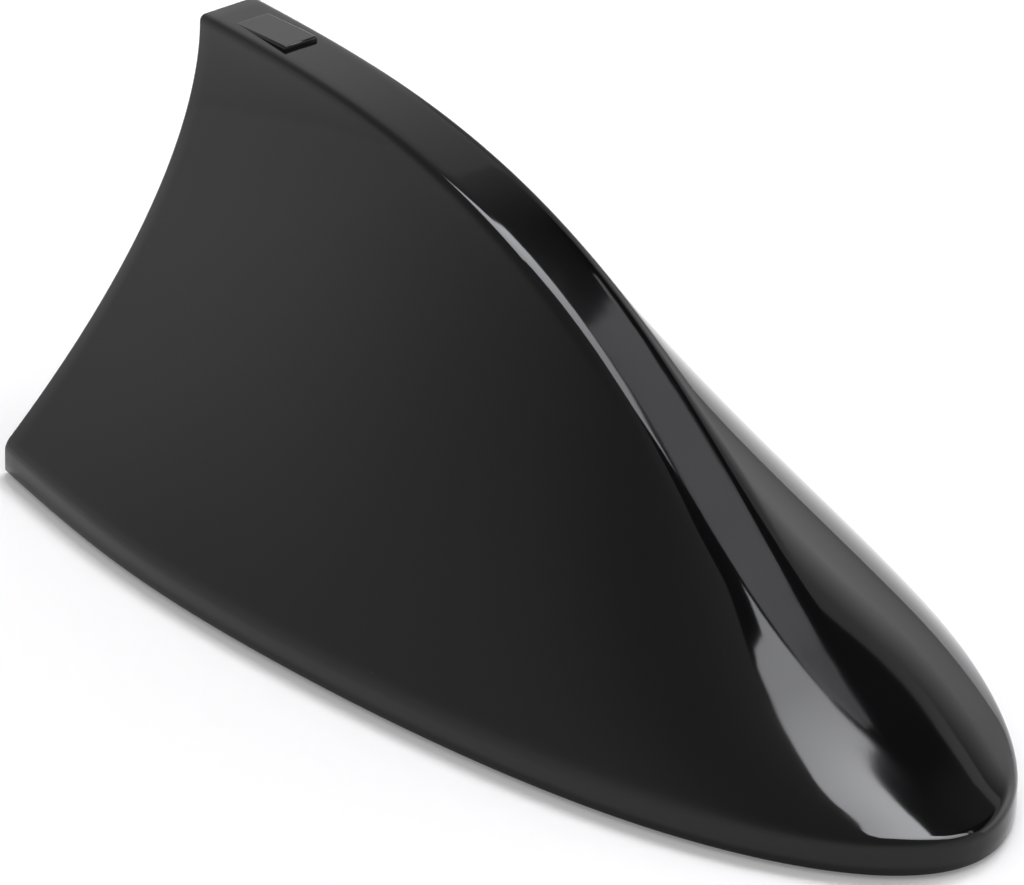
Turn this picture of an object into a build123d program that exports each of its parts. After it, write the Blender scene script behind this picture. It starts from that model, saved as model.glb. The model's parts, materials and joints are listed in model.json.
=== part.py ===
"""Stick-on shark fin roof aerial: moulded cover, base, pad and the aerial parts inside.

Millimetres, +Z up, nose towards +X, centred on the width. The face of the
adhesive pad that meets the roof lies at Z = 0.
"""

import os
from math import hypot, sqrt

from build123d import *

# Cover, outer form
length = 160.0
skirt_bottom = 0.4
skirt_height = 4.45
# Crown height over the skirt and base half width at six even stations, tail to nose
crown_rise = (55.9, 55.8, 50.3, 34.4, 11.0, 0.0)
base_half_width = (40.3, 42.9, 41.3, 36.5, 27.7, 0.0)
# Flank power at the same stations: over one is hollow, under one is full
flank_power = (1.71, 1.40, 1.11, 0.86, 0.32, 0.30)
crown_half_width = 5.0
crown_fade_power = 8.0
crown_fade_station = 0.9
crown_bevel = 1.2
crown_least = 0.6
last_section_from_nose = 7.2
skirt_bevel_drop = 0.6
skirt_bevel_rise = 2.0
skirt_bevel_run = 1.0
rear_scoop_depth = 1.0
tip_land_length = 11.6
tip_land_half_width = 2.85
tip_land_rise = 1.0
tip_land_setback = 5.7

# Cover, inside
wall = 2.4
rim_width = 4.6
boss_radius = 3.6
rib_thickness = 1.4
rib_foot_z = 8.0
rib_from_nose = 25.0

# Fits
slip_gap = 0.3
hole_gap = 0.3
slot_gap = 0.2

# Adhesive pad
pad_thickness = 1.2
pad_ring_width = 8.0
pad_edge_gap = 0.6

# Base plate and the screws that hold it to the cover
plate_thickness = 2.4
screw_pad_height = 1.4
screw_pad_radius = 4.6
rear_screw_from_tail = 20.0
rear_screw_y = 24.0
front_screw_from_nose = 37.0
cover_screw_radius = 1.4
cover_screw_head_radius = 2.8
cover_screw_head_height = 1.6
cover_screw_length = 11.0
cover_screw_end_gap = 1.5
head_sink = 0.2

# Circuit board, its posts and screws
board_from_gland = 15.0
board_length = 72.0
board_width = 22.0
board_thickness = 1.4
board_corner_radius = 2.0
post_height = 5.4
post_radius = 2.6
post_inset = 4.0
board_screw_radius = 1.0
board_screw_head_radius = 1.9
board_screw_head_height = 1.3
board_screw_length = 5.0
board_screw_end_gap = 0.6

# Amplifier shield with the patch antenna on it, and the cable socket
shield_from_front = 26.0
shield_length = 20.0
shield_width = 16.0
shield_height = 5.0
shield_wall = 0.4
shield_corner_radius = 1.2
patch_edge_gap = 1.5
patch_height = 4.0
patch_pin_radius = 0.8
patch_pin_height = 0.4
socket_from_front = 7.0
socket_length = 7.0
socket_width = 8.0
socket_height = 6.0
socket_collar_radius = 2.4
socket_collar_length = 2.0
socket_bore_radius = 1.6

# Radiator plate and its holder on the board
holder_from_rear = 18.0
holder_length = 16.0
holder_width = 7.0
holder_height = 6.0
slot_depth = 4.0
radiator_thickness = 0.6
radiator_from_tail = 14.0
radiator_length = 42.0
radiator_crown_gap = 6.5
radiator_clearance = 2.0
radiator_slot_width = 2.0
radiator_slot_length = 28.0
radiator_slot_pitch = 9.0

# Cable gland
gland_from_nose = 51.0
gland_neck_radius = 5.0
gland_flange_radius = 6.6
gland_flange_thickness = 1.0
gland_bore_radius = 2.0

# Places that follow from the sizes
tail_x = -length / 2
nose_x = length / 2
skirt_top = skirt_bottom + skirt_height
plate_bottom = pad_thickness
plate_top = plate_bottom + plate_thickness
screw_pad_top = plate_top + screw_pad_height
board_bottom = plate_top + post_height
board_top = board_bottom + board_thickness
gland_x = nose_x - gland_from_nose
board_front_x = gland_x - board_from_gland
board_rear_x = board_front_x - board_length
board_x = (board_rear_x + board_front_x) / 2
shield_x = board_front_x - shield_from_front
shield_top = board_top + shield_height
patch_top = shield_top + patch_height
socket_x = board_front_x - socket_from_front
socket_face = socket_x + socket_length / 2
holder_x = board_rear_x + holder_from_rear
holder_top = board_top + holder_height
slot_floor = holder_top - slot_depth
radiator_rear_x = tail_x + radiator_from_tail
radiator_front_x = radiator_rear_x + radiator_length
radiator_foot = max(holder_top, patch_top + patch_pin_height) + radiator_clearance
rear_screw_x = tail_x + rear_screw_from_tail
front_screw_x = nose_x - front_screw_from_nose
cover_screw_spots = [
    (rear_screw_x, rear_screw_y),
    (rear_screw_x, -rear_screw_y),
    (front_screw_x, 0.0),
]
screw_seat = plate_bottom + head_sink + cover_screw_head_height
post_spots = [
    (board_rear_x + post_inset, 0.0),
    (board_front_x - post_inset, board_width / 2 - post_inset),
    (board_front_x - post_inset, post_inset - board_width / 2),
]


def even_spline(values):
    """Return a smooth function of t through values at even stations from 0 to 1."""
    gaps = len(values) - 1
    step = 1 / gaps
    ratio = [0.0]
    bend = [0.0]
    for i in range(1, gaps):
        turn = 6 * (values[i - 1] - 2 * values[i] + values[i + 1]) / step**2
        ratio.append(1 / (4 - ratio[-1]))
        bend.append((turn - bend[-1]) * ratio[-1])
    curve = [0.0] * (gaps + 1)
    for i in range(gaps - 1, 0, -1):
        curve[i] = bend[i] - ratio[i] * curve[i + 1]

    def value(t):
        i = min(max(int(t / step), 0), gaps - 1)
        b = t / step - i
        a = 1 - b
        flat = a * values[i] + b * values[i + 1]
        return flat + ((a**3 - a) * curve[i] + (b**3 - b) * curve[i + 1]) * step**2 / 6

    return value


rise_at = even_spline(crown_rise)
power_at = even_spline(flank_power)
width_square_at = even_spline([half**2 for half in base_half_width])


def width_at(t):
    """Half width of the base outline."""
    return sqrt(max(width_square_at(t), 0.0))


def crown_at(t):
    """Half width of the flat crown, which fades out at the nose."""
    return crown_half_width * max(1 - (max(t, 0.0) / crown_fade_station) ** crown_fade_power, 0.0)


def skin_height(x, y):
    """Height of the outer skin over a point of the plan, left of the nose."""
    t = x / length + 0.5
    over = max(abs(y) - crown_at(t), 0.0) / (width_at(t) - crown_at(t))
    return skirt_top + rise_at(t) * (1 - over ** (1 / power_at(t)))


def graded_points(path, count):
    """Pick count points along a fine polyline, closer together towards its end."""
    run = [0.0]
    for a, b in zip(path, path[1:]):
        run.append(run[-1] + hypot(b[0] - a[0], b[1] - a[1]))
    picked = []
    k = 0
    for i in range(count):
        want = run[-1] * (1 - (1 - i / (count - 1)) ** flank_grading)
        while k < len(path) - 2 and run[k + 1] < want:
            k += 1
        f = (want - run[k]) / (run[k + 1] - run[k])
        a, b = path[k], path[k + 1]
        picked.append((a[0] + f * (b[0] - a[0]), a[1] + f * (b[1] - a[1])))
    return picked


nose_station = 1 - last_section_from_nose / length
floor_z = -14.0
overrun = 4.0
outer_points = 6
inner_points = 5
flank_grading = 2.2


def draw_section(t, inset, points, flank):
    """Draw one cross-section of the fin, drawn in by inset, in the open sketch.

    The flanks pass through so many points, as the kind of line that flank names.
    """
    base = min(t, nose_station)
    half = width_at(base) - inset
    crown = max(crown_at(base) - 0.85 * inset, crown_least)
    power = power_at(base)
    rise = rise_at(base)
    corner_z = skirt_top - inset + rise_at(t)
    fine = []
    far_over = (half + overrun - crown) / (half - crown)
    for i in range(241):
        over = far_over * (1 - i / 240) ** 2
        fine.append((crown + over * (half - crown), corner_z - rise * over ** (1 / power)))
    bevel = min(crown_bevel, 0.6 * crown)
    while hypot(fine[-1][0] - crown, fine[-1][1] - corner_z) < bevel:
        fine.pop()
    right = graded_points(fine, points)
    left = [(-y, z) for y, z in reversed(right)]
    flank(*right)
    Polyline(right[-1], (crown - bevel, corner_z), (bevel - crown, corner_z), left[0])
    flank(*left)
    out = right[0]
    Polyline(out, (out[0], floor_z), (-out[0], floor_z), left[-1])


outer_stations = (-0.01, 0.06, 0.2, 0.38, 0.56, 0.72, 0.85, nose_station, 1.03)
inner_stations = (-0.01, 0.25, 0.5, 0.64, 0.75, 0.82, 0.88, 0.98)
outline_stations = (0.3, 0.55, 0.75, 0.88, 0.96)


def station_plane(t):
    """Plane across the fin at a station."""
    return Plane.YZ.offset((t - 0.5) * length)


def outline_point(t, inset):
    """Point of the base outline at a station, moved in square to it by inset."""
    y = width_at(t)
    lean = (width_square_at(t + 0.001) - width_square_at(t - 0.001)) / (0.002 * length)
    size = hypot(lean, 2 * y)
    return (t - 0.5) * length + inset * lean / size, y - inset * 2 * y / size


def draw_outline(inset, tail_inset):
    """Draw the teardrop outline of the base in the open sketch, as a chain of arcs.

    The sides are moved in by inset and the straight tail by tail_inset.
    """
    first = 0.0
    for _ in range(4):
        first += (tail_x + tail_inset - outline_point(first, inset)[0]) / length
    chain = [first, *outline_stations]
    for side in (1, -1):
        for t, u in zip(chain, chain[1:]):
            spots = [outline_point(v, inset) for v in (t, (t + u) / 2, u)]
            ThreePointArc(*[(x, side * y) for x, y in spots])
    x, y = outline_point(chain[-1], inset)
    ThreePointArc((x, y), outline_point(1.0, inset), (x, -y))
    x, y = outline_point(first, inset)
    Line((x, y), (x, -y))


os.makedirs("parts", exist_ok=True)

# Space inside the cover: the outer form drawn in by the wall, kept within the rim
with BuildPart() as cavity:
    for t in inner_stations:
        with BuildSketch(station_plane(t)):
            with BuildLine():
                draw_section(t, wall, inner_points, Polyline)
            make_face()
    loft(ruled=True)
    with BuildSketch(Plane.XY.offset(skirt_bottom - 1)):
        with BuildLine():
            draw_outline(rim_width, rim_width)
        make_face()
    extrude(amount=2 * max(crown_rise), mode=Mode.INTERSECT)

# Envelope of the cover: upright skirt, bevelled in above, open at the tail
with BuildPart() as envelope:
    with BuildSketch(Plane.XY.offset(skirt_bottom)):
        with BuildLine():
            draw_outline(0.0, 0.0)
        make_face()
    extrude(amount=skirt_height - skirt_bevel_drop)
    for z, inset in ((skirt_top - skirt_bevel_drop, 0.0), (skirt_top + skirt_bevel_rise, skirt_bevel_run)):
        with BuildSketch(Plane.XY.offset(z)):
            with BuildLine():
                draw_outline(inset, 0.0)
            make_face()
    loft(ruled=True)
    with BuildSketch(Plane.XY.offset(skirt_top + skirt_bevel_rise)):
        with BuildLine():
            draw_outline(skirt_bevel_run, 0.0)
        make_face()
    extrude(amount=2 * max(crown_rise))

# Moulded fin cover
with BuildPart() as fin_cover:
    for t in outer_stations:
        with BuildSketch(station_plane(t)):
            with BuildLine():
                draw_section(t, 0.0, outer_points, Spline)
            make_face()
    loft()
    add(envelope.part, mode=Mode.INTERSECT)
    # Hollow rear face
    crown_tail = skirt_top + rise_at(0)
    with BuildSketch(Plane.XZ):
        with BuildLine():
            ThreePointArc(
                (tail_x, skirt_bottom),
                (tail_x + rear_scoop_depth, (skirt_bottom + crown_tail) / 2),
                (tail_x, crown_tail),
            )
            Line((tail_x, crown_tail), (tail_x, skirt_bottom))
        make_face()
    extrude(amount=2 * base_half_width[0], both=True, mode=Mode.SUBTRACT)
    # Raised land on the crown at the tip
    land_rear = tail_x + tip_land_setback
    land_front = land_rear + tip_land_length
    with BuildSketch(Plane.XZ):
        with BuildLine():
            Polyline(
                (land_rear, skin_height(land_rear, 0) - wall / 2),
                (land_rear, skin_height(land_rear, 0)),
                (land_front, skin_height(land_front, 0) + tip_land_rise),
                (land_front, skin_height(land_front, 0) - wall / 2),
                close=True,
            )
        make_face()
    extrude(amount=tip_land_half_width, both=True)
    # Hollow inside, with screw bosses and a cross rib under the nose
    add(cavity.part, mode=Mode.SUBTRACT)
    for x, y in cover_screw_spots:
        boss_top = skin_height(x + boss_radius, abs(y) + boss_radius) - wall / 2
        with BuildSketch(Plane.XY.offset(screw_pad_top)):
            with Locations((x, y)):
                Circle(boss_radius)
        extrude(amount=boss_top - screw_pad_top)
    with BuildSketch(Plane.XY.offset(screw_pad_top)):
        with Locations(*cover_screw_spots):
            Circle(cover_screw_radius + hole_gap)
    extrude(
        amount=screw_seat + cover_screw_length + cover_screw_end_gap - screw_pad_top,
        mode=Mode.SUBTRACT,
    )
    rib_station = 1 - rib_from_nose / length
    with BuildSketch(station_plane(rib_station)):
        with BuildLine():
            draw_section(rib_station, wall / 2, inner_points, Polyline)
        make_face()
        with Locations((0, rib_foot_z)):
            Rectangle(
                4 * base_half_width[0], 2 * max(crown_rise),
                align=(Align.CENTER, Align.MIN), mode=Mode.INTERSECT,
            )
    extrude(amount=rib_thickness / 2, both=True)
fin_cover.part.label = "fin_cover"
export_step(fin_cover.part, "parts/fin_cover.step")

# Base plate inside the rim, with screw pads, board posts and the gland hole
with BuildPart() as base_plate:
    with BuildSketch(Plane.XY.offset(plate_bottom)):
        with BuildLine():
            draw_outline(rim_width + slip_gap, rim_width + slip_gap)
        make_face()
    extrude(amount=plate_thickness)
    with BuildSketch(Plane.XY.offset(plate_top)):
        with Locations(*cover_screw_spots):
            Circle(screw_pad_radius)
    extrude(amount=screw_pad_height)
    with BuildSketch(Plane.XY.offset(plate_top)):
        with Locations(*post_spots):
            Circle(post_radius)
    extrude(amount=post_height)
    with BuildSketch(Plane.XY.offset(board_bottom)):
        with Locations(*post_spots):
            Circle(board_screw_radius + hole_gap)
    extrude(amount=board_thickness - board_screw_length - board_screw_end_gap, mode=Mode.SUBTRACT)
    with BuildSketch(Plane.XY.offset(plate_bottom)):
        with Locations(*cover_screw_spots):
            Circle(cover_screw_radius + hole_gap)
    extrude(amount=screw_pad_top - plate_bottom, mode=Mode.SUBTRACT)
    with BuildSketch(Plane.XY.offset(plate_bottom)):
        with Locations(*cover_screw_spots):
            Circle(cover_screw_head_radius + hole_gap)
    extrude(amount=screw_seat - plate_bottom, mode=Mode.SUBTRACT)
    with BuildSketch(Plane.XY.offset(plate_bottom)):
        with Locations((gland_x, 0)):
            Circle(gland_neck_radius + hole_gap)
    extrude(amount=plate_thickness, mode=Mode.SUBTRACT)
base_plate.part.label = "base_plate"
export_step(base_plate.part, "parts/base_plate.step")

# Foam adhesive ring under the base plate
with BuildPart() as adhesive_pad:
    with BuildSketch():
        pad_inset = rim_width + slip_gap + pad_edge_gap
        with BuildLine():
            draw_outline(pad_inset, pad_inset)
        make_face()
        with BuildLine():
            draw_outline(pad_inset + pad_ring_width, pad_inset + pad_ring_width)
        make_face(mode=Mode.SUBTRACT)
    extrude(amount=pad_thickness)
adhesive_pad.part.label = "adhesive_pad"
export_step(adhesive_pad.part, "parts/adhesive_pad.step")

# Self-tapping screws, heads sunk in the base plate
with BuildPart() as cover_screws:
    with BuildSketch(Plane.XY.offset(screw_seat)):
        with Locations(*cover_screw_spots):
            Circle(cover_screw_head_radius)
    extrude(amount=-cover_screw_head_height)
    with BuildSketch(Plane.XY.offset(screw_seat)):
        with Locations(*cover_screw_spots):
            Circle(cover_screw_radius)
    extrude(amount=cover_screw_length)
cover_screws.part.label = "cover_screws"
export_step(cover_screws.part, "parts/cover_screws.step")

# Circuit board on the posts
with BuildPart() as circuit_board:
    with BuildSketch(Plane.XY.offset(board_bottom)):
        with Locations((board_x, 0)):
            RectangleRounded(board_length, board_width, board_corner_radius)
        with Locations(*post_spots):
            Circle(board_screw_radius + hole_gap, mode=Mode.SUBTRACT)
    extrude(amount=board_thickness)
circuit_board.part.label = "circuit_board"
export_step(circuit_board.part, "parts/circuit_board.step")

# Screws that hold the board down
with BuildPart() as board_screws:
    with BuildSketch(Plane.XY.offset(board_top)):
        with Locations(*post_spots):
            Circle(board_screw_head_radius)
    extrude(amount=board_screw_head_height)
    with BuildSketch(Plane.XY.offset(board_top)):
        with Locations(*post_spots):
            Circle(board_screw_radius)
    extrude(amount=-board_screw_length)
board_screws.part.label = "board_screws"
export_step(board_screws.part, "parts/board_screws.step")

# Pressed metal can over the amplifier, open to the board
with BuildPart() as amplifier_shield:
    with BuildSketch(Plane.XY.offset(board_top)):
        with Locations((shield_x, 0)):
            RectangleRounded(shield_length, shield_width, shield_corner_radius)
    extrude(amount=shield_height)
    with BuildSketch(Plane.XY.offset(board_top)):
        with Locations((shield_x, 0)):
            RectangleRounded(
                shield_length - 2 * shield_wall,
                shield_width - 2 * shield_wall,
                shield_corner_radius - shield_wall,
            )
    extrude(amount=shield_height - shield_wall, mode=Mode.SUBTRACT)
amplifier_shield.part.label = "amplifier_shield"
export_step(amplifier_shield.part, "parts/amplifier_shield.step")

# Ceramic patch antenna on the can, with its feed pin
with BuildPart() as patch_antenna:
    with BuildSketch(Plane.XY.offset(shield_top)):
        with Locations((shield_x, 0)):
            Rectangle(shield_length - 2 * patch_edge_gap, shield_width - 2 * patch_edge_gap)
    extrude(amount=patch_height)
    with BuildSketch(Plane.XY.offset(patch_top)):
        with Locations((shield_x, 0)):
            Circle(patch_pin_radius)
    extrude(amount=patch_pin_height)
patch_antenna.part.label = "patch_antenna"
export_step(patch_antenna.part, "parts/patch_antenna.step")

# Socket for the cable at the front edge of the board
with BuildPart() as cable_socket:
    with BuildSketch(Plane.XY.offset(board_top)):
        with Locations((socket_x, 0)):
            Rectangle(socket_length, socket_width)
    extrude(amount=socket_height)
    with BuildSketch(Plane.YZ.offset(socket_face)):
        with Locations((0, board_top + socket_height / 2)):
            Circle(socket_collar_radius)
    extrude(amount=socket_collar_length)
    with BuildSketch(Plane.YZ.offset(socket_face + socket_collar_length)):
        with Locations((0, board_top + socket_height / 2)):
            Circle(socket_bore_radius)
    extrude(amount=-socket_length, mode=Mode.SUBTRACT)
cable_socket.part.label = "cable_socket"
export_step(cable_socket.part, "parts/cable_socket.step")

# Moulded holder on the board, slotted for the radiator plate
with BuildPart() as plate_holder:
    with BuildSketch(Plane.XY.offset(board_top)):
        with Locations((holder_x, 0)):
            Rectangle(holder_length, holder_width)
    extrude(amount=holder_height)
    with BuildSketch(Plane.XY.offset(slot_floor)):
        with Locations((holder_x, 0)):
            Rectangle(holder_length, radiator_thickness + 2 * slot_gap)
    extrude(amount=slot_depth, mode=Mode.SUBTRACT)
plate_holder.part.label = "plate_holder"
export_step(plate_holder.part, "parts/plate_holder.step")

# Stamped radiator plate: stands in the holder, follows the crown, slotted into a meander
crown_line = []
for i in range(4):
    x = radiator_rear_x + radiator_length * i / 3
    crown_line.append((x, skin_height(x, 0) - radiator_crown_gap))
with BuildPart() as radiator_plate:
    with BuildSketch(Plane.XZ):
        with BuildLine():
            Spline(*crown_line)
            Polyline(
                crown_line[-1],
                (radiator_front_x, radiator_foot),
                (holder_x + holder_length / 2, radiator_foot),
                (holder_x + holder_length / 2, slot_floor),
                (holder_x - holder_length / 2, slot_floor),
                (holder_x - holder_length / 2, radiator_foot),
                (radiator_rear_x, radiator_foot),
                crown_line[0],
            )
        make_face()
        with Locations((radiator_rear_x, radiator_foot + radiator_slot_pitch)):
            Rectangle(2 * radiator_slot_length, radiator_slot_width, mode=Mode.SUBTRACT)
        with Locations((radiator_front_x, radiator_foot + 2 * radiator_slot_pitch)):
            Rectangle(2 * radiator_slot_length, radiator_slot_width, mode=Mode.SUBTRACT)
    extrude(amount=radiator_thickness / 2, both=True)
radiator_plate.part.label = "radiator_plate"
export_step(radiator_plate.part, "parts/radiator_plate.step")

# Rubber gland clipped through the base plate
with BuildPart() as cable_gland:
    with BuildSketch(Plane.XY.offset(plate_bottom - gland_flange_thickness)):
        with Locations((gland_x, 0)):
            Circle(gland_flange_radius)
    extrude(amount=gland_flange_thickness)
    with BuildSketch(Plane.XY.offset(plate_bottom)):
        with Locations((gland_x, 0)):
            Circle(gland_neck_radius)
    extrude(amount=plate_thickness)
    with BuildSketch(Plane.XY.offset(plate_top)):
        with Locations((gland_x, 0)):
            Circle(gland_flange_radius)
    extrude(amount=gland_flange_thickness)
    with BuildSketch(Plane.XY.offset(plate_bottom - gland_flange_thickness)):
        with Locations((gland_x, 0)):
            Circle(gland_bore_radius)
    extrude(amount=plate_thickness + 2 * gland_flange_thickness, mode=Mode.SUBTRACT)
cable_gland.part.label = "cable_gland"
export_step(cable_gland.part, "parts/cable_gland.step")
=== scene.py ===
"""Looks of the shark fin aerial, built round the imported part.

The gloss cover and the screws get meshes of their own, the other pieces get
finishes, and a plain white studio with a camera is set up. Sizes in the classes
are millimetres, and every mesh is made in metres in the frame of the part.
"""

import json
import logging
import math
from collections.abc import Iterable
from dataclasses import dataclass
from enum import Enum

import bpy
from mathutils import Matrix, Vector


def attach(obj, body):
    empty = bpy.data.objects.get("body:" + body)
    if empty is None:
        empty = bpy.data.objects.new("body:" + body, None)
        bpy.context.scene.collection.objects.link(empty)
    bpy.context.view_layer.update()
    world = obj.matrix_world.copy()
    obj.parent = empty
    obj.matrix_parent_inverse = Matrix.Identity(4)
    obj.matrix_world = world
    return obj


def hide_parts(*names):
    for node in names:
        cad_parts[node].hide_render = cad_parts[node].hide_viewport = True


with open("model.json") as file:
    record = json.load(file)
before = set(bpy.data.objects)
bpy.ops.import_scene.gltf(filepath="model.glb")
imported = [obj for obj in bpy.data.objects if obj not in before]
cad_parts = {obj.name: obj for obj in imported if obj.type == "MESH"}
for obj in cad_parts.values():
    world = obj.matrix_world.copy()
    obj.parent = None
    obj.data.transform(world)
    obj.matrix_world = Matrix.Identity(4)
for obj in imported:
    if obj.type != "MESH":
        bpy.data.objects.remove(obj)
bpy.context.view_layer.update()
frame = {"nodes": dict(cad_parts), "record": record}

logging.basicConfig(level=logging.INFO, format="%(message)s")
log = logging.getLogger("shark_fin_aerial")

MM = 0.001
SMOOTH_ANGLE = math.radians(32)
Point = tuple[float, float, float]
Spot = tuple[float, float]
Colour = tuple[float, float, float]
Socket = bpy.types.NodeSocket


class Recipe:
    """The nodes of one material, with short ways to add and link them."""

    def __init__(self, name: str) -> None:
        """Start a material from the plain shader.

        Args:
            name: Name of the material.
        """
        self.material = bpy.data.materials.new(name)
        self.material.use_nodes = True
        self.tree = self.material.node_tree
        self.shader = self.tree.nodes["Principled BSDF"]
        self.place = self.add("ShaderNodeTexCoord").outputs["Object"]

    def add(self, kind: str, **values: object) -> bpy.types.Node:
        """Add a node and set its properties.

        Args:
            kind: Blender's name of the node.
            **values: Properties to set on it.

        Returns:
            The node.
        """
        node = self.tree.nodes.new(kind)
        for name, value in values.items():
            setattr(node, name, value)
        return node

    def plug(self, node: bpy.types.Node, **sockets: object) -> bpy.types.Node:
        """Set or link a node's inputs, named with underscores for spaces.

        Args:
            node: The node.
            **sockets: A value or an output for each input.

        Returns:
            The same node.
        """
        for name, value in sockets.items():
            target = node.inputs[name.replace("_", " ")]
            if isinstance(value, Socket):
                self.tree.links.new(value, target)
            else:
                target.default_value = value
        return node

    def stretched(self, scale: Point) -> Socket:
        """Give the object's coordinates stretched along its axes."""
        return self.plug(self.add("ShaderNodeMapping"), Vector=self.place, Scale=scale).outputs["Vector"]

    def noise(self, scale: float, detail: float = 3.0, place: Socket | None = None) -> Socket:
        """Add cloudy noise.

        Args:
            scale: Features in a metre.
            detail: Levels of finer features.
            place: Coordinates, or none for the object's own.

        Returns:
            The noise, about 0 to 1.
        """
        node = self.add("ShaderNodeTexNoise")
        return self.plug(node, Vector=place or self.place, Scale=scale, Detail=detail).outputs[0]

    def cells(self, scale: float, distance: str = "EUCLIDEAN") -> bpy.types.Node:
        """Add a cell pattern.

        Args:
            scale: Cells in a metre.
            distance: How the distance to a cell's centre is measured.

        Returns:
            The node, with the distance and a random colour for each cell.
        """
        node = self.add("ShaderNodeTexVoronoi", distance=distance)
        return self.plug(node, Vector=self.place, Scale=scale)

    def span(self, source: Socket, before: Spot, after: Spot) -> Socket:
        """Map one range of values to another.

        Args:
            source: The values.
            before: Range that they come in.
            after: Range to give.

        Returns:
            The mapped values, held inside the range.
        """
        node = self.plug(
            self.add("ShaderNodeMapRange"), Value=source,
            From_Min=before[0], From_Max=before[1], To_Min=after[0], To_Max=after[1],
        )
        return node.outputs[0]

    def times(self, first: Socket, second: Socket) -> Socket:
        """Multiply two patterns.

        Args:
            first: One pattern.
            second: The other.

        Returns:
            Their product.
        """
        node = self.add("ShaderNodeMath", operation="MULTIPLY")
        self.tree.links.new(first, node.inputs[0])
        self.tree.links.new(second, node.inputs[1])
        return node.outputs[0]

    def along(self, axis: str) -> Socket:
        """Give one of the object's coordinates."""
        return self.plug(self.add("ShaderNodeSeparateXYZ"), Vector=self.place).outputs[axis]

    def tint(self, share: Socket, low: Colour | Socket, high: Colour) -> Socket:
        """Blend two colours by a pattern.

        Args:
            share: The pattern, 0 to 1.
            low: Colour at 0.
            high: Colour at 1.

        Returns:
            The colour.
        """
        node = self.add("ShaderNodeMix", data_type="RGBA")
        self.tree.links.new(share, node.inputs["Factor"])
        for target, value in zip(node.inputs[6:8], (low, high)):
            if isinstance(value, Socket):
                self.tree.links.new(value, target)
            else:
                target.default_value = (*value, 1.0)
        return node.outputs[2]

    def relief(self, *layers: tuple[Socket, float]) -> None:
        """Add bump layers to the shader.

        Args:
            *layers: Each pattern with its depth in millimetres.
        """
        normal = None
        for height, depth in layers:
            node = self.plug(self.add("ShaderNodeBump"), Height=height, Distance=depth * MM, Strength=1.0)
            if normal:
                self.plug(node, Normal=normal)
            normal = node.outputs["Normal"]
        self.plug(self.shader, Normal=normal)


@dataclass(frozen=True)
class GlossBlack:
    """Polished black moulding: deep colour, faint ripple and a little dust low down."""

    deep: Colour = (0.0030, 0.0030, 0.0034)
    pale: Colour = (0.0046, 0.0045, 0.0049)
    dust: Colour = (0.10, 0.10, 0.095)
    dust_height: float = 14.0
    gloss: Spot = (0.04, 0.075)
    specular: float = 0.31
    ripple: float = 0.006

    def material(self) -> bpy.types.Material:
        """Mix the nodes of the finish.

        Returns:
            The material.
        """
        r = Recipe("gloss_black_moulding")
        specks = r.cells(700)
        spread = r.add("ShaderNodeSeparateColor")
        r.plug(spread, Color=specks.outputs["Color"])
        low = r.span(r.along("Z"), (0.3 * self.dust_height * MM, self.dust_height * MM), (1.0, 0.0))
        few = r.span(spread.outputs["Red"], (0.955, 0.96), (0.0, 1.0))
        dots = r.span(specks.outputs["Distance"], (0.04, 0.07), (0.7, 0.0))
        body = r.tint(r.noise(45), self.deep, self.pale)
        colour = r.tint(r.times(r.times(low, few), dots), body, self.dust)
        gloss = r.span(r.noise(30, 4), (0.3, 0.7), self.gloss)
        r.plug(r.shader, Base_Color=colour, Roughness=gloss, Specular_IOR_Level=self.specular)
        r.relief((r.noise(210, 1), self.ripple), (r.noise(2600, 2), 0.0004))
        return r.material


@dataclass(frozen=True)
class MattMoulding:
    """Unpolished black moulding with the fine grain of an eroded tool."""

    dark: Colour = (0.020, 0.020, 0.021)
    light: Colour = (0.036, 0.036, 0.038)
    roughness: Spot = (0.46, 0.64)

    def material(self) -> bpy.types.Material:
        """Mix the nodes of the finish.

        Returns:
            The material.
        """
        r = Recipe("matt_black_moulding")
        grain = r.noise(3600, 2)
        r.plug(
            r.shader,
            Base_Color=r.tint(r.noise(60, 5), self.dark, self.light),
            Roughness=r.span(grain, (0.3, 0.7), self.roughness),
        )
        r.relief((r.noise(160), 0.02), (grain, 0.03))
        return r.material


@dataclass(frozen=True)
class FoamTape:
    """Closed-cell foam tape, with open cells in its cut face, whose pits are painted darker as shade."""

    dark: Colour = (0.045, 0.045, 0.047)
    light: Colour = (0.115, 0.115, 0.12)
    cell_scale: float = 1300.0

    def material(self) -> bpy.types.Material:
        """Mix the nodes of the finish.

        Returns:
            The material.
        """
        r = Recipe("foam_tape")
        cells = r.cells(self.cell_scale).outputs["Distance"]
        # Painted shade: the open cells are darker in colour at their pits, where the bump sinks, and
        # lighter on their walls.
        wall = r.span(cells, (0.1, 0.6), (0.0, 1.0))
        cloud = r.span(r.noise(90), (0.3, 0.7), (0.6, 1.0))
        r.plug(
            r.shader,
            Base_Color=r.tint(r.times(wall, cloud), self.dark, self.light),
            Roughness=r.span(cells, (0.0, 0.7), (0.95, 0.78)),
        )
        r.relief((r.noise(220), 0.08), (wall, 0.16))
        return r.material


@dataclass(frozen=True)
class GlandRubber:
    """Soft black rubber with a faint grey bloom."""

    dark: Colour = (0.012, 0.012, 0.012)
    bloom: Colour = (0.034, 0.034, 0.033)

    def material(self) -> bpy.types.Material:
        """Mix the nodes of the finish.

        Returns:
            The material.
        """
        r = Recipe("gland_rubber")
        cloud = r.noise(260, 5)
        r.plug(
            r.shader,
            Base_Color=r.tint(r.span(cloud, (0.4, 0.75), (0.0, 1.0)), self.dark, self.bloom),
            Roughness=r.span(cloud, (0.3, 0.7), (0.5, 0.72)),
            Sheen_Weight=0.08,
        )
        r.relief((r.noise(1400), 0.012))
        return r.material


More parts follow.
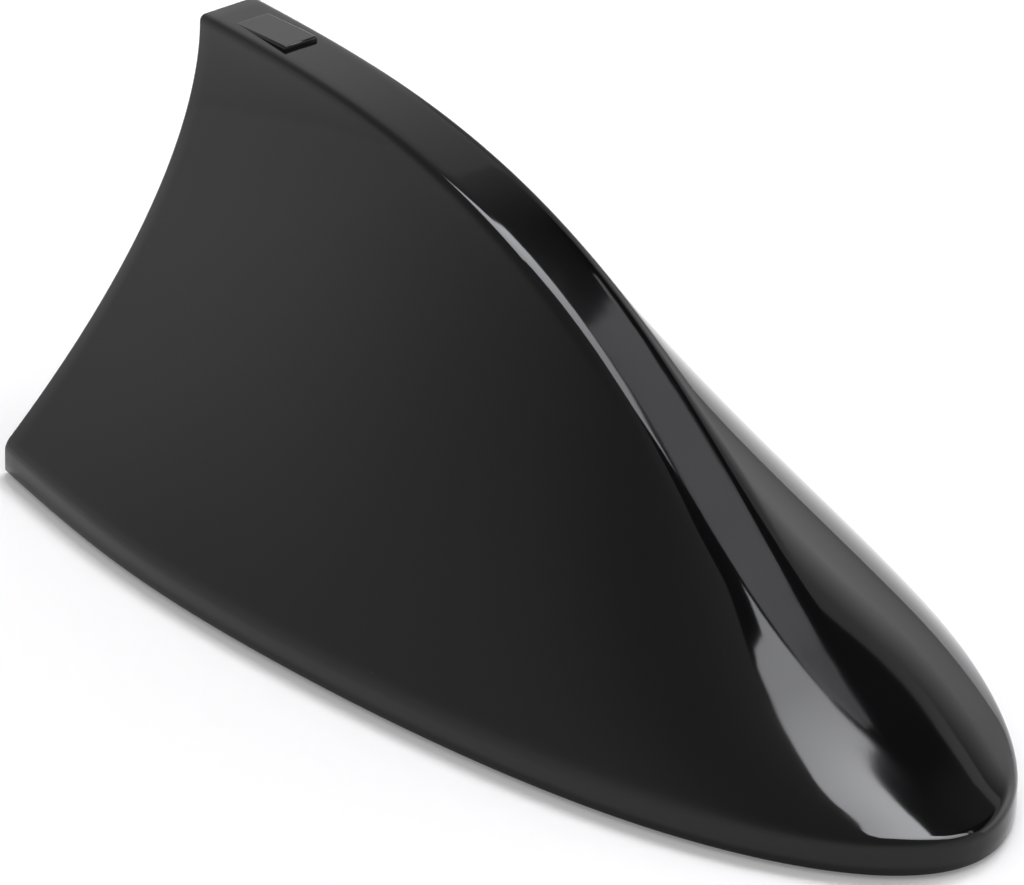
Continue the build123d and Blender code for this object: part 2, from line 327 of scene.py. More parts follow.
@dataclass(frozen=True)
class ZincPlate:
    """Bright zinc plate on turned steel."""

    dull: Colour = (0.46, 0.47, 0.50)
    bright: Colour = (0.64, 0.64, 0.62)

    def material(self) -> bpy.types.Material:
        """Mix the nodes of the finish.

        Returns:
            The material.
        """
        r = Recipe("zinc_plate")
        turned = r.noise(900, 3, r.stretched((1.0, 1.0, 7.0)))
        r.plug(
            r.shader,
            Base_Color=r.tint(r.noise(500, 4), self.dull, self.bright),
            Metallic=1.0,
            Roughness=r.span(turned, (0.3, 0.7), (0.2, 0.42)),
        )
        r.relief((turned, 0.006))
        return r.material


@dataclass(frozen=True)
class BoardLacquer:
    """Green lacquer over the copper runs of a circuit board."""

    ground: Colour = (0.018, 0.11, 0.045)
    run: Colour = (0.045, 0.21, 0.085)

    def material(self) -> bpy.types.Material:
        """Mix the nodes of the finish.

        Returns:
            The material.
        """
        r = Recipe("board_lacquer")
        ring = r.cells(230, "CHEBYCHEV").outputs["Distance"]
        wave = r.add("ShaderNodeMath", operation="PINGPONG")
        r.tree.links.new(ring, wave.inputs[0])
        wave.inputs[1].default_value = 0.11
        run = r.span(wave.outputs[0], (0.065, 0.08), (0.0, 1.0))
        weave = r.noise(1500, 2)
        r.plug(
            r.shader,
            Base_Color=r.tint(r.times(run, r.span(weave, (0.3, 0.7), (0.7, 1.0))), self.ground, self.run),
            Roughness=r.span(weave, (0.3, 0.7), (0.24, 0.38)),
        )
        r.relief((run, 0.03), (weave, 0.008))
        return r.material


@dataclass(frozen=True)
class TinnedSheet:
    """Tinned sheet with soft spangle and rolling lines."""

    dull: Colour = (0.52, 0.52, 0.50)
    bright: Colour = (0.72, 0.72, 0.70)

    def material(self) -> bpy.types.Material:
        """Mix the nodes of the finish.

        Returns:
            The material.
        """
        r = Recipe("tinned_sheet")
        spangle = r.add("ShaderNodeSeparateColor")
        r.plug(spangle, Color=r.cells(240).outputs["Color"])
        lines = r.noise(240, 4, r.stretched((1.0, 14.0, 14.0)))
        r.plug(
            r.shader,
            Base_Color=r.tint(spangle.outputs["Red"], self.dull, self.bright),
            Metallic=1.0,
            Roughness=r.span(lines, (0.3, 0.7), (0.18, 0.36)),
        )
        r.relief((lines, 0.006))
        return r.material


@dataclass(frozen=True)
class PatchCeramic:
    """Unglazed ceramic tile with fine specks."""

    body: Colour = (0.52, 0.48, 0.40)
    shade: Colour = (0.42, 0.38, 0.31)
    speck: Colour = (0.20, 0.17, 0.13)

    def material(self) -> bpy.types.Material:
        """Mix the nodes of the finish.

        Returns:
            The material.
        """
        r = Recipe("patch_ceramic")
        specks = r.span(r.cells(2100).outputs["Distance"], (0.12, 0.22), (0.6, 0.0))
        r.plug(
            r.shader,
            Base_Color=r.tint(specks, r.tint(r.noise(300, 5), self.body, self.shade), self.speck),
            Roughness=r.span(r.noise(1200), (0.3, 0.7), (0.55, 0.74)),
        )
        r.relief((r.noise(1700), 0.02))
        return r.material


@dataclass(frozen=True)
class NaturalNylon:
    """Natural nylon, slightly mottled by its flow in the tool."""

    pale: Colour = (0.80, 0.79, 0.75)
    warm: Colour = (0.68, 0.66, 0.59)

    def material(self) -> bpy.types.Material:
        """Mix the nodes of the finish.

        Returns:
            The material.
        """
        r = Recipe("natural_nylon")
        flow = r.noise(140, 4, r.stretched((1.0, 1.0, 3.0)))
        r.plug(
            r.shader,
            Base_Color=r.tint(flow, self.pale, self.warm),
            Roughness=r.span(flow, (0.3, 0.7), (0.36, 0.52)),
            Subsurface_Weight=0.06,
        )
        r.relief((r.noise(900), 0.012))
        return r.material


class Slot(Enum):
    """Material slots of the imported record, with the finish of each."""

    gloss_black = GlossBlack()
    base_black = MattMoulding()
    foam_pad = FoamTape()
    gland_rubber = GlandRubber()
    screw_steel = ZincPlate()
    board_green = BoardLacquer()
    tin_plate = TinnedSheet()
    patch_ceramic = PatchCeramic()
    holder_white = NaturalNylon()


class PaintShelf:
    """Makes each finish once and puts it on pieces."""

    def __init__(self) -> None:
        """Start with no finish made."""
        self.made: dict[Slot, bpy.types.Material] = {}

    def dress(self, piece: bpy.types.Object, slot: Slot) -> None:
        """Give a piece the finish of a slot as its only material.

        Args:
            piece: The mesh object.
            slot: The slot.
        """
        if slot not in self.made:
            self.made[slot] = slot.value.material()
        piece.data.materials.clear()
        piece.data.materials.append(self.made[slot])


def choose(piece: bpy.types.Object) -> None:
    """Make one object the only selected and active one.

    Args:
        piece: The object to select.
    """
    bpy.ops.object.select_all(action="DESELECT")
    piece.select_set(True)
    bpy.context.view_layer.objects.active = piece


def pick_points(piece: bpy.types.Object, points: set[int]) -> None:
    """Enter edit mode with only some vertices selected, with the edges between them.

    Args:
        piece: The mesh object to edit.
        points: Indices of the vertices.
    """
    choose(piece)
    bpy.ops.object.mode_set(mode="EDIT")
    bpy.ops.mesh.select_mode(type="VERT")
    bpy.ops.mesh.select_all(action="DESELECT")
    bpy.ops.object.mode_set(mode="OBJECT")
    for vertex in piece.data.vertices:
        vertex.select = vertex.index in points
    bpy.ops.object.mode_set(mode="EDIT")


def pick_faces(piece: bpy.types.Object, faces: set[int]) -> None:
    """Enter edit mode with only some faces selected.

    Args:
        piece: The mesh object to edit.
        faces: Indices of the faces.
    """
    choose(piece)
    bpy.ops.object.mode_set(mode="EDIT")
    bpy.ops.mesh.select_mode(type="FACE")
    bpy.ops.mesh.select_all(action="DESELECT")
    bpy.ops.object.mode_set(mode="OBJECT")
    for face in piece.data.polygons:
        face.select = face.index in faces
    bpy.ops.object.mode_set(mode="EDIT")


def apply_modifier(piece: bpy.types.Object, modifier: bpy.types.Modifier) -> None:
    """Apply a modifier to its object."""
    choose(piece)
    bpy.ops.object.modifier_apply(modifier=modifier.name)


def join(pieces: list[bpy.types.Object]) -> bpy.types.Object:
    """Join mesh objects into the first of them.

    Args:
        pieces: The objects, all in place.

    Returns:
        The joined object.
    """
    choose(pieces[0])
    for piece in pieces[1:]:
        piece.select_set(True)
    bpy.ops.object.join()
    return pieces[0]


def soft_floor(value: float, floor: float, softness: float) -> float:
    """Hold a value over a floor, with a smooth turn.

    Args:
        value: The value.
        floor: Least value to give.
        softness: How far from the floor the turn starts.

    Returns:
        The value, a little over the floor where it meets it.
    """
    over = value - floor
    return floor + (over + math.hypot(over, softness)) / 2


def arc_weights(u: float) -> Point:
    """Give the weights of a quadratic curve's start, corner and end at a share of its way."""
    return (1 - u) ** 2, 2 * u * (1 - u), u**2


class EvenCurve:
    """A smooth curve through values at even stations from 0 to 1."""

    def __init__(self, values: Iterable[float]) -> None:
        """Work out the bend at each station.

        Args:
            values: The values, first to last.
        """
        self.values = list(values)
        self.gaps = len(self.values) - 1
        self.step = 1 / self.gaps
        ratio, bend = [0.0], [0.0]
        for i in range(1, self.gaps):
            before, here, after = self.values[i - 1 : i + 2]
            turn = 6 * (before - 2 * here + after) / self.step**2
            ratio.append(1 / (4 - ratio[-1]))
            bend.append((turn - bend[-1]) * ratio[-1])
        self.curve = [0.0] * (self.gaps + 1)
        for i in range(self.gaps - 1, 0, -1):
            self.curve[i] = bend[i] - ratio[i] * self.curve[i + 1]

    def at(self, t: float) -> float:
        """Give the value at a station.

        Args:
            t: The station, 0 at the tail and 1 at the nose.

        Returns:
            The value there.
        """
        i = min(max(int(t / self.step), 0), self.gaps - 1)
        b = t / self.step - i
        a = 1 - b
        flat = a * self.values[i] + b * self.values[i + 1]
        bow = (a**3 - a) * self.curve[i] + (b**3 - b) * self.curve[i + 1]
        return flat + bow * self.step**2 / 6


@dataclass(frozen=True)
class Section:
    """One cross-section of the fin, from the crown's centre down to the skirt.

    Attributes:
        half: Half the width at the skirt.
        crown: Half the width of the crown.
        power: Form of the flank: hollow over one, full under one.
        crease: Share of a straight line in the flank.
        rise: Height of the flank.
        top: Height of the crown.
        edge: Reach of the rounding at the crown's edge.
        spread: How much closer points of the flank lie near the crown.
    """

    half: float
    crown: float
    power: float
    crease: float
    rise: float
    top: float
    edge: float
    spread: float = 1.25

    def flank(self, over: float) -> Spot:
        """Give a point of the flank.

        Args:
            over: Share of the way from the crown's edge to the skirt.

        Returns:
            The point's place across the fin and its height.
        """
        share = max(over, 0.0)
        drop = (1 - self.crease) * share ** (1 / self.power) + self.crease * share
        return self.crown + over * (self.half - self.crown), self.top - self.rise * drop

    def corner(self) -> Spot:
        """Find where the rounding of the crown's edge ends on the flank.

        Returns:
            The share on the flank, and the place across the crown where it starts.
        """
        low, high = 0.0, 1.0
        for _ in range(40):
            over = (low + high) / 2
            y, z = self.flank(over)
            if math.hypot(y - self.crown, z - self.top) < self.edge:
                low = over
            else:
                high = over
        return high, self.crown - min(self.edge, 0.6 * self.crown)

    def bend(self, u: float) -> Spot:
        """Give a point of the rounded edge.

        Args:
            u: Share of the way from the crown to the flank.

        Returns:
            The point's place across the fin and its height.
        """
        over, start = self.corner()
        y, z = self.flank(over)
        a, b, c = arc_weights(u)
        return a * start + b * self.crown + c * y, (a + b) * self.top + c * z

    def height(self, y: float) -> float:
        """Give the height of the skin.

        Args:
            y: Place across the fin.

        Returns:
            The height there.
        """
        over, start = self.corner()
        end = self.flank(over)[0]
        if y <= start:
            return self.top
        if y >= end:
            return self.flank((y - self.crown) / (self.half - self.crown))[1]
        low, high = 0.0, 1.0
        for _ in range(30):
            u = (low + high) / 2
            if self.bend(u)[0] < y:
                low = u
            else:
                high = u
        return self.bend(high)[1]

    def rows(self, end: float, crown: int, corner: int, flank: int) -> list[Spot]:
        """Spread points from the crown's centre to a place on the flank.

        Args:
            end: Place across the fin of the last point.
            crown: Steps over the flat crown.
            corner: Steps round its edge.
            flank: Steps down the flank.

        Returns:
            The points, across and up.
        """
        over, start = self.corner()
        spots = [(start * i / crown, self.top) for i in range(crown + 1)]
        spots += [self.bend(i / corner) for i in range(1, corner + 1)]
        last = (end - self.crown) / (self.half - self.crown)
        count = 120
        fine = [self.flank(over + (last - over) * (i / count) ** 2) for i in range(count + 1)]
        run = [0.0]
        for a, b in zip(fine, fine[1:]):
            run.append(run[-1] + math.hypot(b[0] - a[0], b[1] - a[1]))
        k = 0
        for i in range(1, flank + 1):
            want = run[-1] * (i / flank) ** self.spread
            while k < count - 1 and run[k + 1] < want:
                k += 1
            f = (want - run[k]) / (run[k + 1] - run[k])
            (y, z), (v, w) = fine[k], fine[k + 1]
            spots.append((y + f * (v - y), z + f * (w - z)))
        return spots


@dataclass
class FinCover:
    """The gloss moulding: flanks, crown, nose, hollow rear face, skirt and inside."""

    length: float = 160.0
    skirt_bottom: float = 0.4
    skirt_height: float = 4.45
    crown_rise: tuple[float, ...] = (55.9, 55.8, 50.3, 34.4, 11.0, 0.0)
    base_half_width: tuple[float, ...] = (40.3, 42.9, 41.3, 36.5, 27.7, 0.0)
    flank_power: tuple[float, ...] = (1.71, 1.40, 1.11, 0.86, 0.32, 0.30)
    crown_half_width: float = 5.0
    crown_fade_power: float = 8.0
    crown_fade_station: float = 0.9
    crown_least: float = 0.6
    crown_edge: float = 1.2
    crease_share: float = 0.13
    crease_span: Spot = (0.58, 0.75)
    nose_station: float = 0.955
    nose_softness: float = 0.008
    model_station: float = 0.93
    skirt_edge: float = 1.1
    bottom_edge: float = 0.3
    rear_edge: float = 0.5
    scoop_depth: float = 1.0
    scoop_reach: float = 20.0
    wall: float = 2.4
    rim_width: float = 4.6
    rim_passes: int = 4
    turn_from_nose: float = 32.0
    spine_from_nose: float = 13.0
    columns: int = 120
    rows: tuple[int, ...] = (4, 6, 40)
    inside_columns: int = 50
    inside_rows: tuple[int, ...] = (2, 2, 14)
    skirt_steps: int = 6
    rear_steps: int = 5
    cap_rows: int = 7
    inside_cap_rows: int = 4
    land_setback: float = 5.7
    land_length: float = 11.6
    land_half_width: float = 2.85
    land_rise: float = 0.65
    land_start: float = 0.02
    land_edge: float = 0.3
    land_border: float = 0.08
    ease: float = 0.998
    nose_ease: float = 0.03
    merge_reach: float = 0.01

    def __post_init__(self) -> None:
        """Set up the curves that the sizes give."""
        self.rise = EvenCurve(self.crown_rise)
        self.power = EvenCurve(self.flank_power)
        self.width_square = EvenCurve([half**2 for half in self.base_half_width])
        self.skirt_top = self.skirt_bottom + self.skirt_height
        self.tail = -self.length / 2
        self.nose = self.length / 2

    def station(self, x: float) -> float:
        """Give the station of a place along the fin."""
        return x / self.length + 0.5

    def half_width(self, t: float) -> float:
        """Give half the width of the base at a station."""
        return math.sqrt(max(self.width_square.at(t), 0.0))

    def section(self, t: float, inset: float = 0.0) -> Section:
        """Give the cross-section at a station.

        Args:
            t: The station.
            inset: How far the section is drawn in.

        Returns:
            The section. Past the last full station the nose keeps its form.
        """
        soft = self.nose_softness
        base = self.nose_station - soft * math.log1p(math.exp((self.nose_station - t) / soft))
        share = max(1 - (max(base, 0.0) / self.crown_fade_station) ** self.crown_fade_power, 0.0)
        crown = self.crown_half_width * share
        start, end = self.crease_span
        near = min(max((base - start) / (end - start), 0.0), 1.0)
        return Section(
            half=self.half_width(base) - inset,
            crown=soft_floor(crown - 0.85 * inset, self.crown_least, 0.3),
            power=self.power.at(base),
            crease=self.crease_share * near**2 * (3 - 2 * near),
            rise=self.rise.at(base),
            top=self.skirt_top + self.rise.at(t) - inset,
            edge=self.crown_edge,
        )

    def outline(self, t: float, inset: float) -> Spot:
        """Give a point of the base outline.

        Args:
            t: The station.
            inset: How far it is moved in, square to the outline.

        Returns:
            The point in plan.
        """
        y = self.half_width(t)
        near = 0.001
        change = self.width_square.at(t + near) - self.width_square.at(t - near)
        lean = change / (2 * near * self.length)
        size = math.hypot(lean, 2 * y)
        return (t - 0.5) * self.length + inset * lean / size, y - inset * 2 * y / size

    def scoop(self, x: float, z: float) -> float:
        """Give how far the hollow rear face pushes a point forward.

        Args:
            x: Place along the fin.
            z: Height.

        Returns:
            The push, which fades out ahead of the rear face.
        """
        middle = (self.skirt_bottom + self.skirt_top + self.crown_rise[0]) / 2
        share = (z - middle) / (middle - self.skirt_bottom)
        fade = max(1 - (x - self.tail) / self.scoop_reach, 0.0)
        return self.scoop_depth * max(1 - share**2, 0.0) * fade**2

    def stations(self, first: float, count: int) -> list[float]:
        """Spread stations up to the nose, closer together towards it.

        Args:
            first: The first station.
            count: How many steps to take.

        Returns:
            The stations.
        """
        return [first + (1 - first) * (1 - (1 - i / count) ** 2) for i in range(count + 1)]

    def spine(self, x: float, nose: float) -> float:
        """Give where a ray from the outline meets the middle plane.

        Args:
            x: Place of the outline point along the fin.
            nose: Place of the outline's nose.

        Returns:
            The place along the fin, held back near the nose.
        """
        turn = nose - self.turn_from_nose
        reach = self.turn_from_nose - self.spine_from_nose
        if x <= turn:
            return x
        share = min((x - turn) / self.turn_from_nose, 1.0)
        return turn + reach * (1 - (1 - share) ** (self.turn_from_nose / reach))

    def strip(self, t: float) -> list[Spot]:
        """Give the outer rows at a station, from the crown over the flank to the bottom.

        Args:
            t: The station.

        Returns:
            The points, across and up.
        """
        section = self.section(t)
        rows = section.rows(section.half - self.skirt_edge, *self.rows)
        return rows + self.skirt_rows(rows[-1], section.half, section.flank(1.0)[1])

    def skirt_rows(self, start: Spot, half: float, edge: float) -> list[Spot]:
        """Give the rows of the skirt under a point of the flank.

        Args:
            start: Last point of the flank.
            half: Place of the skirt's wall.
            edge: Height at which flank and skirt would meet.

        Returns:
            The points, across and up.
        """
        rows = []
        for i in range(1, self.skirt_steps + 1):
            a, b, c = arc_weights(i / self.skirt_steps)
            height = a * start[1] + b * edge + c * (edge - self.skirt_edge)
            rows.append((a * start[0] + (b + c) * half, height))
        low, leg = self.skirt_bottom, self.bottom_edge
        rows.append((half, (rows[-1][1] + low + leg) / 2))
        rows += [(half, low + leg), (half - 0.3 * leg, low + 0.3 * leg), (half - leg, low)]
        return rows

    def tail_columns(self) -> list[list[Point]]:
        """Give the columns that round the rear edge.

        Returns:
            The columns, from the rear face to the flank.
        """
        rows = self.strip(0.0)
        flank_rows = sum(self.rows) + 1
        ahead = self.side_column(self.rear_edge / self.length)
        columns = [[] for _ in range(self.rear_steps)]
        for j, (y, z) in enumerate(rows):
            (ya, za), (yb, zb) = rows[max(j - 1, 0)], rows[min(j + 1, len(rows) - 1)]
            size = math.hypot(yb - ya, zb - za)
            inward = ((zb - za) / size, (ya - yb) / size) if j < flank_rows else (-1.0, 0.0)
            if j == 0:
                inward = (0.0, -1.0)
            corner = (self.tail + self.scoop(self.tail, z), y, z)
            inner = (corner[0], y + inward[0] * self.rear_edge, z + inward[1] * self.rear_edge)
            for i, column in enumerate(columns):
                a, b, c = arc_weights(i / self.rear_steps)
                column.append(tuple(a * p + b * q + c * r for p, q, r in zip(inner, corner, ahead[j])))
        return columns

    def side_column(self, t: float) -> list[Point]:
        """Give the outer points of one ray, from the middle plane to the bottom edge.

        Args:
            t: Station of the ray's outline point.

        Returns:
            The points.
        """
        x = (t - 0.5) * self.length
        y = self.half_width(t)
        back = self.spine(x, self.nose)
        if back == x:
            spots = self.strip(t)
            if x < self.tail + self.scoop_reach:
                moved = []
                for j, (_, z) in enumerate(spots):
                    place = x + self.scoop(x, z)
                    moved.append((place, *self.strip(self.station(place))[j]))
                return moved
            return [(x, *spot) for spot in spots]
        model = self.section(min(t, self.model_station))
        rows = model.rows(model.half - self.skirt_edge, *self.rows)
        reach = math.hypot(x - back, y)
        scale = (1 - self.skirt_edge / reach) / rows[-1][0]
        points = []
        for row, _ in rows:
            f = row * scale
            place = back + f * (x - back)
            points.append((place, f * y, self.section(self.station(place)).height(f * y)))
        edge = self.section(t).height(y)
        for out, z in self.skirt_rows((reach - self.skirt_edge, points[-1][2]), reach, edge):
            f = out / reach
            points.append((back + f * (x - back), f * y, z))
        return points

    def inner_column(self, t: float) -> list[Point]:
        """Give the points of one ray inside the cover, from the middle plane to the rim.

        Args:
            t: Station of the ray's outline point.

        Returns:
            The points.
        """
        x, y = self.outline(t, self.rim_width)
        back = self.spine(x, self.nose - self.rim_width)
        model = self.section(min(self.station(x), self.model_station), self.wall)
        rows = model.rows(model.half - self.rim_width, *self.inside_rows)
        points = []
        for row, _ in rows:
            f = row / rows[-1][0]
            place = back + f * (x - back)
            points.append((place, f * y, self.section(self.station(place), self.wall).height(f * y)))
        high, low = points[-1][2], self.skirt_bottom
        points += [(x, y, high + (low - high) * share) for share in (0.5, 1.0)]
        return points

    def grid(self, name: str, columns: list[list[Point]], flat_rows: int) -> bpy.types.Object:
        """Shape a grid primitive into half a skin, close its rear and mirror it.

        Args:
            name: Name of the object.
            columns: Points of each column, tail first.
            flat_rows: Rows that close the top of the rear face as one polygon.

        Returns:
            The skin, open along its bottom edge. By a known fault the inside skin also has a
            slit at the nose, where the merge takes in points beside the middle plane.
        """
        wide, high = len(columns), len(columns[0])
        bpy.ops.object.select_all(action="DESELECT")
        bpy.ops.mesh.primitive_grid_add(x_subdivisions=wide - 1, y_subdivisions=high - 1, size=2)
        skin = bpy.context.active_object
        skin.name = name
        order = {}
        for vertex in skin.data.vertices:
            i = round((vertex.co.x + 1) / 2 * (wide - 1))
            j = round((vertex.co.y + 1) / 2 * (high - 1))
            order[i, j] = vertex.index
            x, y, z = columns[i][j]
            vertex.co = Vector((min(x, self.nose - self.nose_ease), y * self.ease, z)) * MM
        count = len(skin.data.vertices)
        pick_points(skin, {order[0, j] for j in range(flat_rows, high)})
        bpy.ops.mesh.extrude_edges_move()
        bpy.ops.transform.resize(value=(1, 0, 1), center_override=(0, 0, 0))
        bpy.ops.object.mode_set(mode="OBJECT")
        level = columns[0][flat_rows][2] * MM
        points = skin.data.vertices
        centre = min(range(count, len(points)), key=lambda k: abs(points[k].co.z - level))
        pick_points(skin, {order[0, j] for j in range(flat_rows + 1)} | {centre})
        bpy.ops.mesh.edge_face_add()
        bpy.ops.object.mode_set(mode="OBJECT")
        mirror = skin.modifiers.new("other_side", "MIRROR")
        mirror.use_axis = (False, True, False)
        mirror.merge_threshold = self.merge_reach * MM
        apply_modifier(skin, mirror)
        return skin

    def tip_land(self) -> bpy.types.Object:
        """Shape the small raised wedge on the crown at the tip.

        Returns:
            The wedge, sunk into the wall of the cover.
        """
        rear = self.tail + self.land_setback
        front = rear + self.land_length
        bpy.ops.object.select_all(action="DESELECT")
        bpy.ops.mesh.primitive_cube_add(size=2)
        land = bpy.context.active_object
        for vertex in land.data.vertices:
            x = front if vertex.co.x > 0 else rear
            top = self.section(self.station(x)).top
            lift = self.land_rise if vertex.co.x > 0 else self.land_start
            z = top + lift if vertex.co.z > 0 else top - 0.5 * self.wall
            vertex.co = Vector((x, math.copysign(self.land_half_width, vertex.co.y), z)) * MM
        bpy.ops.object.mode_set(mode="EDIT")
        bpy.ops.mesh.select_all(action="SELECT")
        bpy.ops.mesh.bevel(offset=self.land_edge * MM, segments=3, affect="EDGES")
        bpy.ops.object.mode_set(mode="OBJECT")
        least = (self.land_half_width * MM) ** 2
        pick_faces(land, {face.index for face in land.data.polygons if face.area > least})
        bpy.ops.mesh.inset(thickness=self.land_border * MM)
        bpy.ops.object.mode_set(mode="OBJECT")
        return land

    def build(self, shelf: PaintShelf) -> bpy.types.Object:
        """Make and dress the whole moulding.

        Args:
            shelf: Where the finish comes from.

        Returns:
            The cover, riding on the part and standing for its plain solid.
        """
        stations = self.stations(self.rear_edge / self.length, self.columns)
        columns = self.tail_columns() + [self.side_column(t) for t in stations]
        outer = self.grid("fin_cover_skin", columns, self.cap_rows)
        start = 0.0
        for _ in range(self.rim_passes):
            start += (self.tail + self.rim_width - self.outline(start, self.rim_width)[0]) / self.length
        columns = [self.inner_column(t) for t in self.stations(start, self.inside_columns)]
        inner = self.grid("fin_cover_inside", columns, self.inside_cap_rows)
        cover = join([outer, inner])
        bpy.ops.object.mode_set(mode="EDIT")
        bpy.ops.mesh.select_mode(type="EDGE")
        bpy.ops.mesh.select_all(action="DESELECT")
        bpy.ops.mesh.select_non_manifold(
            extend=False, use_wire=False, use_boundary=True,
            use_multi_face=False, use_non_contiguous=False, use_verts=False,
        )
        # Known fault: the bridge pairs the two rims crosswise and takes in the slit at the nose,
        # so stray faces close the underside and cross the hollow, and the inside faces wrongly.
        bpy.ops.mesh.bridge_edge_loops()
        bpy.ops.mesh.select_all(action="SELECT")
        bpy.ops.mesh.normals_make_consistent(inside=False)
        bpy.ops.object.mode_set(mode="OBJECT")
        cover = join([cover, self.tip_land()])
        choose(cover)
        bpy.ops.object.shade_smooth_by_angle(angle=SMOOTH_ANGLE)
        shelf.dress(cover, Slot.gloss_black)
        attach(cover, "root")
        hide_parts("fin_cover")
        return cover


@dataclass
class CoverScrews:
    """Pan-head self-tapping screws with a cross recess, sunk in the base plate."""

    spots: tuple[Spot, ...] = ((-60.0, 24.0), (-60.0, -24.0), (43.0, 0.0))
    head_bottom: float = 1.4
    head_height: float = 1.6
    head_radius: float = 2.8
    head_round: float = 0.9
    sides: int = 40
    round_steps: int = 5
    shank_radius: float = 1.4
    shank_length: float = 11.0
    point_length: float = 2.2
    point_share: float = 0.2
    recess_length: float = 3.2
    recess_width: float = 0.75
    recess_depth: float = 0.9
    recess_taper: Spot = (0.45, 0.8)
    cutter_lead: float = 0.3

    def pick_level(self, screw: bpy.types.Object, level: float) -> None:
        """Select the points of a screw at one height, in edit mode."""
        near = 0.001 * MM
        pick_points(screw, {v.index for v in screw.data.vertices if abs(v.co.z - level) < near})

    def screw(self) -> bpy.types.Object:
        """Model one screw on the axis of the frame.

        Returns:
            The screw, with its head down.
        """
        bpy.ops.object.select_all(action="DESELECT")
        seat = (self.head_bottom + self.head_height) * MM
        middle = (self.head_bottom + self.head_height / 2) * MM
        bpy.ops.mesh.primitive_cylinder_add(
            vertices=self.sides, radius=self.head_radius * MM,
            depth=self.head_height * MM, location=(0, 0, middle),
        )
        screw = bpy.context.active_object
        bpy.ops.object.transform_apply(location=True, rotation=True, scale=True)
        self.pick_level(screw, self.head_bottom * MM)
        bpy.ops.mesh.bevel(offset=self.head_round * MM, segments=self.round_steps, affect="EDGES")
        bpy.ops.object.mode_set(mode="OBJECT")
        self.pick_level(screw, seat)
        bpy.ops.mesh.inset(thickness=(self.head_radius - self.shank_radius) * MM)
        straight = self.shank_length - self.point_length
        bpy.ops.mesh.extrude_region_move(TRANSFORM_OT_translate={"value": (0, 0, straight * MM)})
        bpy.ops.mesh.extrude_region_move(TRANSFORM_OT_translate={"value": (0, 0, self.point_length * MM)})
        bpy.ops.transform.resize(value=(self.point_share, self.point_share, 1), center_override=(0, 0, 0))
        bpy.ops.object.mode_set(mode="OBJECT")
        cutter = self.recess()
        cut = screw.modifiers.new("recess", "BOOLEAN")
        cut.object = cutter
        cut.operation = "DIFFERENCE"
        apply_modifier(screw, cut)
        bpy.data.objects.remove(cutter)
        return screw

    def recess(self) -> bpy.types.Object:
        """Model the cross that cuts the recess.

        Returns:
            The cross, narrower at the floor of the recess.
        """
        bars = []
        for turn in (0.0, math.pi / 2):
            bpy.ops.object.select_all(action="DESELECT")
            bpy.ops.mesh.primitive_cube_add(size=2)
            bar = bpy.context.active_object
            for vertex in bar.data.vertices:
                deep = vertex.co.z > 0
                along, across = self.recess_taper if deep else (1.0, 1.0)
                x = vertex.co.x * self.recess_length / 2 * along
                y = vertex.co.y * self.recess_width / 2 * across
                z = self.head_bottom + (self.recess_depth if deep else -self.cutter_lead)
                vertex.co = Vector((x, y, z)) * MM
            bar.rotation_euler.z = turn
            bpy.ops.object.transform_apply(location=True, rotation=True, scale=True)
            bars.append(bar)
        both = bars[0].modifiers.new("cross", "BOOLEAN")
        both.object = bars[1]
        both.operation = "UNION"
        apply_modifier(bars[0], both)
        bpy.data.objects.remove(bars[1])
        return bars[0]

    def build(self, shelf: PaintShelf) -> bpy.types.Object:
        """Model one screw, copy it to every spot and dress the set.

        Args:
            shelf: Where the finish comes from.

        Returns:
            The screws as one piece.
        """
        first = self.screw()
        screws = []
        for x, y in self.spots:
            choose(first)
            bpy.ops.object.duplicate()
            copy = bpy.context.active_object
            copy.location = (x * MM, y * MM, 0)
            bpy.ops.object.transform_apply(location=True, rotation=True, scale=True)
            screws.append(copy)
        bpy.data.objects.remove(first)
        piece = join(screws)
        piece.name = "cover_screw_set"
        bpy.ops.object.shade_smooth_by_angle(angle=SMOOTH_ANGLE)
        shelf.dress(piece, Slot.screw_steel)
        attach(piece, "root")
        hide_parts("cover_screws")
        return piece


@dataclass
class CarriedPieces:
    """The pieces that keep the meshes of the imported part."""

    replaced: tuple[str, ...] = ("fin_cover", "cover_screws")

    def build(self, shelf: PaintShelf) -> list[str]:
        """Dress every carried piece with the finish of its slot.

        Args:
            shelf: Where the finishes come from.

        Returns:
            The names of the dressed pieces.
        """
        names = []
        for entry in frame["record"]["subparts"]:
            if entry["node"] not in self.replaced:
                shelf.dress(frame["nodes"][entry["node"]], Slot[entry["material_slot"]])
                names.append(entry["node"])
        return names


